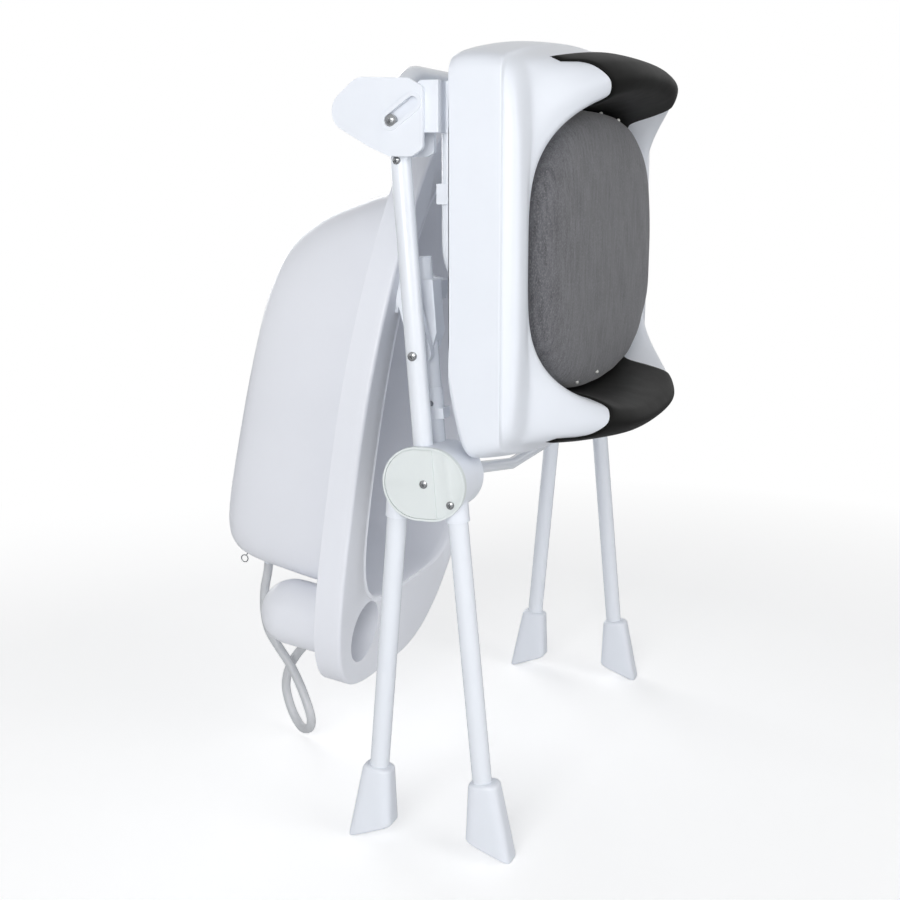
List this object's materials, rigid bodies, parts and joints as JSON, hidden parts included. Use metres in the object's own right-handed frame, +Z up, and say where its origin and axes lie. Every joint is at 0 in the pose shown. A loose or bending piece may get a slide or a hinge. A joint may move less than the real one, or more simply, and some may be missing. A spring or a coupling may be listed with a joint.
{
  "type": "baby bathtub with stand",
  "caption": "Moulded baby bath tub and a padded changing table that hang on the two sides of a folding tubular stand with round hubs, shown folded.",
  "frame": {"origin": "on the floor, under the middle of the folded stand without its hose", "axes": "+X across the fold towards the changing table, +Y along the hub axis from the near side to the far side, +Z up"},
  "size_m": [0.62, 0.729, 1.024],
  "materials": {
    "coated_tube": "glossy white powder coat",
    "white_plastic": "smooth, semi-gloss",
    "cover_plastic": "smooth, semi-gloss, slightly grey",
    "tub_plastic": "smooth, glossy, slightly grey",
    "grip_rubber": "matte",
    "plug_rubber": "matte",
    "pad_fabric": "heather grey with light specks",
    "bright_steel": "bright",
    "hose_plastic": "translucent grey white"
  },
  "bodies": {
    "outer_frame": {"outer_frame_tube": "coated_tube", "outer_leg_near": "coated_tube", "outer_leg_far": "coated_tube", "outer_foot_near": "white_plastic", "outer_foot_far": "white_plastic", "hub_body_near": "white_plastic", "hub_body_far": "white_plastic", "hub_cover_near": "cover_plastic", "hub_cover_far": "cover_plastic", "hub_bolt_near": "bright_steel", "hub_bolt_far": "bright_steel", "hub_screws": "bright_steel", "wing_front_near": "white_plastic", "wing_front_far": "white_plastic", "wing_back_near": "white_plastic", "wing_back_far": "white_plastic", "stop_screws": "bright_steel", "tub_pivot_near": "bright_steel", "tub_pivot_far": "bright_steel"},
    "inner_frame_near": {"inner_hub_near": "white_plastic", "inner_leg_near": "coated_tube", "inner_foot_near": "white_plastic", "inner_arm_near": "coated_tube", "arm_cap_near": "white_plastic", "arm_bracket_near": "white_plastic", "arm_collar_near": "white_plastic"},
    "inner_frame_far": {"inner_hub_far": "white_plastic", "inner_leg_far": "coated_tube", "inner_foot_far": "white_plastic", "inner_arm_far": "coated_tube", "arm_cap_far": "white_plastic", "arm_bracket_far": "white_plastic", "arm_collar_far": "white_plastic"},
    "button_near": {"collar_button_near": "bright_steel"},
    "button_far": {"collar_button_far": "bright_steel"},
    "pivot_pins": {"table_pin_near": "bright_steel", "table_pin_far": "bright_steel"},
    "table": {"table_arm_near": "white_plastic", "table_arm_far": "white_plastic", "table_rail": "coated_tube", "rail_clips": "white_plastic", "table_base": "white_plastic", "table_shell": "white_plastic", "grip_top": "grip_rubber", "grip_bottom": "grip_rubber", "table_pad": "pad_fabric"},
    "tub": {"tub_shell": "tub_plastic", "tub_hanger_near": "white_plastic", "tub_hanger_far": "white_plastic", "hanger_screws": "bright_steel", "drain_outlet": "white_plastic", "wire_loop": "bright_steel", "hose_holder": "white_plastic", "drain_hose": "hose_plastic"},
    "drain_plug": {"drain_plug": "plug_rubber"}
  },
  "joints": [
    {"name": "frame_fold_near", "type": "hinge", "parent": "outer_frame", "child": "inner_frame_near", "pos_m": [0.0984, -0.34, 0.484], "axis": [0, 1, 0], "range_deg": [0, 42]},
    {"name": "frame_fold_far", "type": "hinge", "parent": "outer_frame", "child": "inner_frame_far", "pos_m": [0.0984, 0.34, 0.484], "axis": [0, 1, 0], "range_deg": [0, 42]},
    {"name": "table_lift", "type": "slide", "parent": "outer_frame", "child": "pivot_pins", "axis": [0.8141, 0, 0.5807], "range_m": [0, 0.034]},
    {"name": "table_swing", "type": "hinge", "parent": "pivot_pins", "child": "table", "pos_m": [0.05888, 0, 0.91301], "axis": [0, -1, 0], "range_deg": [0, 69]},
    {"name": "tub_swing", "type": "hinge", "parent": "outer_frame", "child": "tub", "pos_m": [0.08101, 0, 0.638], "axis": [0, -1, 0], "range_deg": [0, 77]},
    {"name": "button_press_near", "type": "slide", "parent": "inner_frame_near", "child": "button_near", "axis": [0, 1, 0], "range_m": [0, 0.0025], "stiffness_N_per_m": 400, "springref_m": -0.002},
    {"name": "button_press_far", "type": "slide", "parent": "inner_frame_far", "child": "button_far", "axis": [0, -1, 0], "range_m": [0, 0.0025], "stiffness_N_per_m": 400, "springref_m": -0.002},
    {"name": "plug_pull", "type": "slide", "parent": "tub", "child": "drain_plug", "axis": [0.1461, 0, 0.9893], "range_m": [0, 0.02]}
  ],
  "couplings": [
    {"joint": "frame_fold_far", "follows": "frame_fold_near", "ratio": 1},
    {"joint": "table_swing", "follows": "frame_fold_near", "ratio": 1.6428},
    {"joint": "tub_swing", "follows": "frame_fold_near", "ratio": 1.8333}
  ]
}
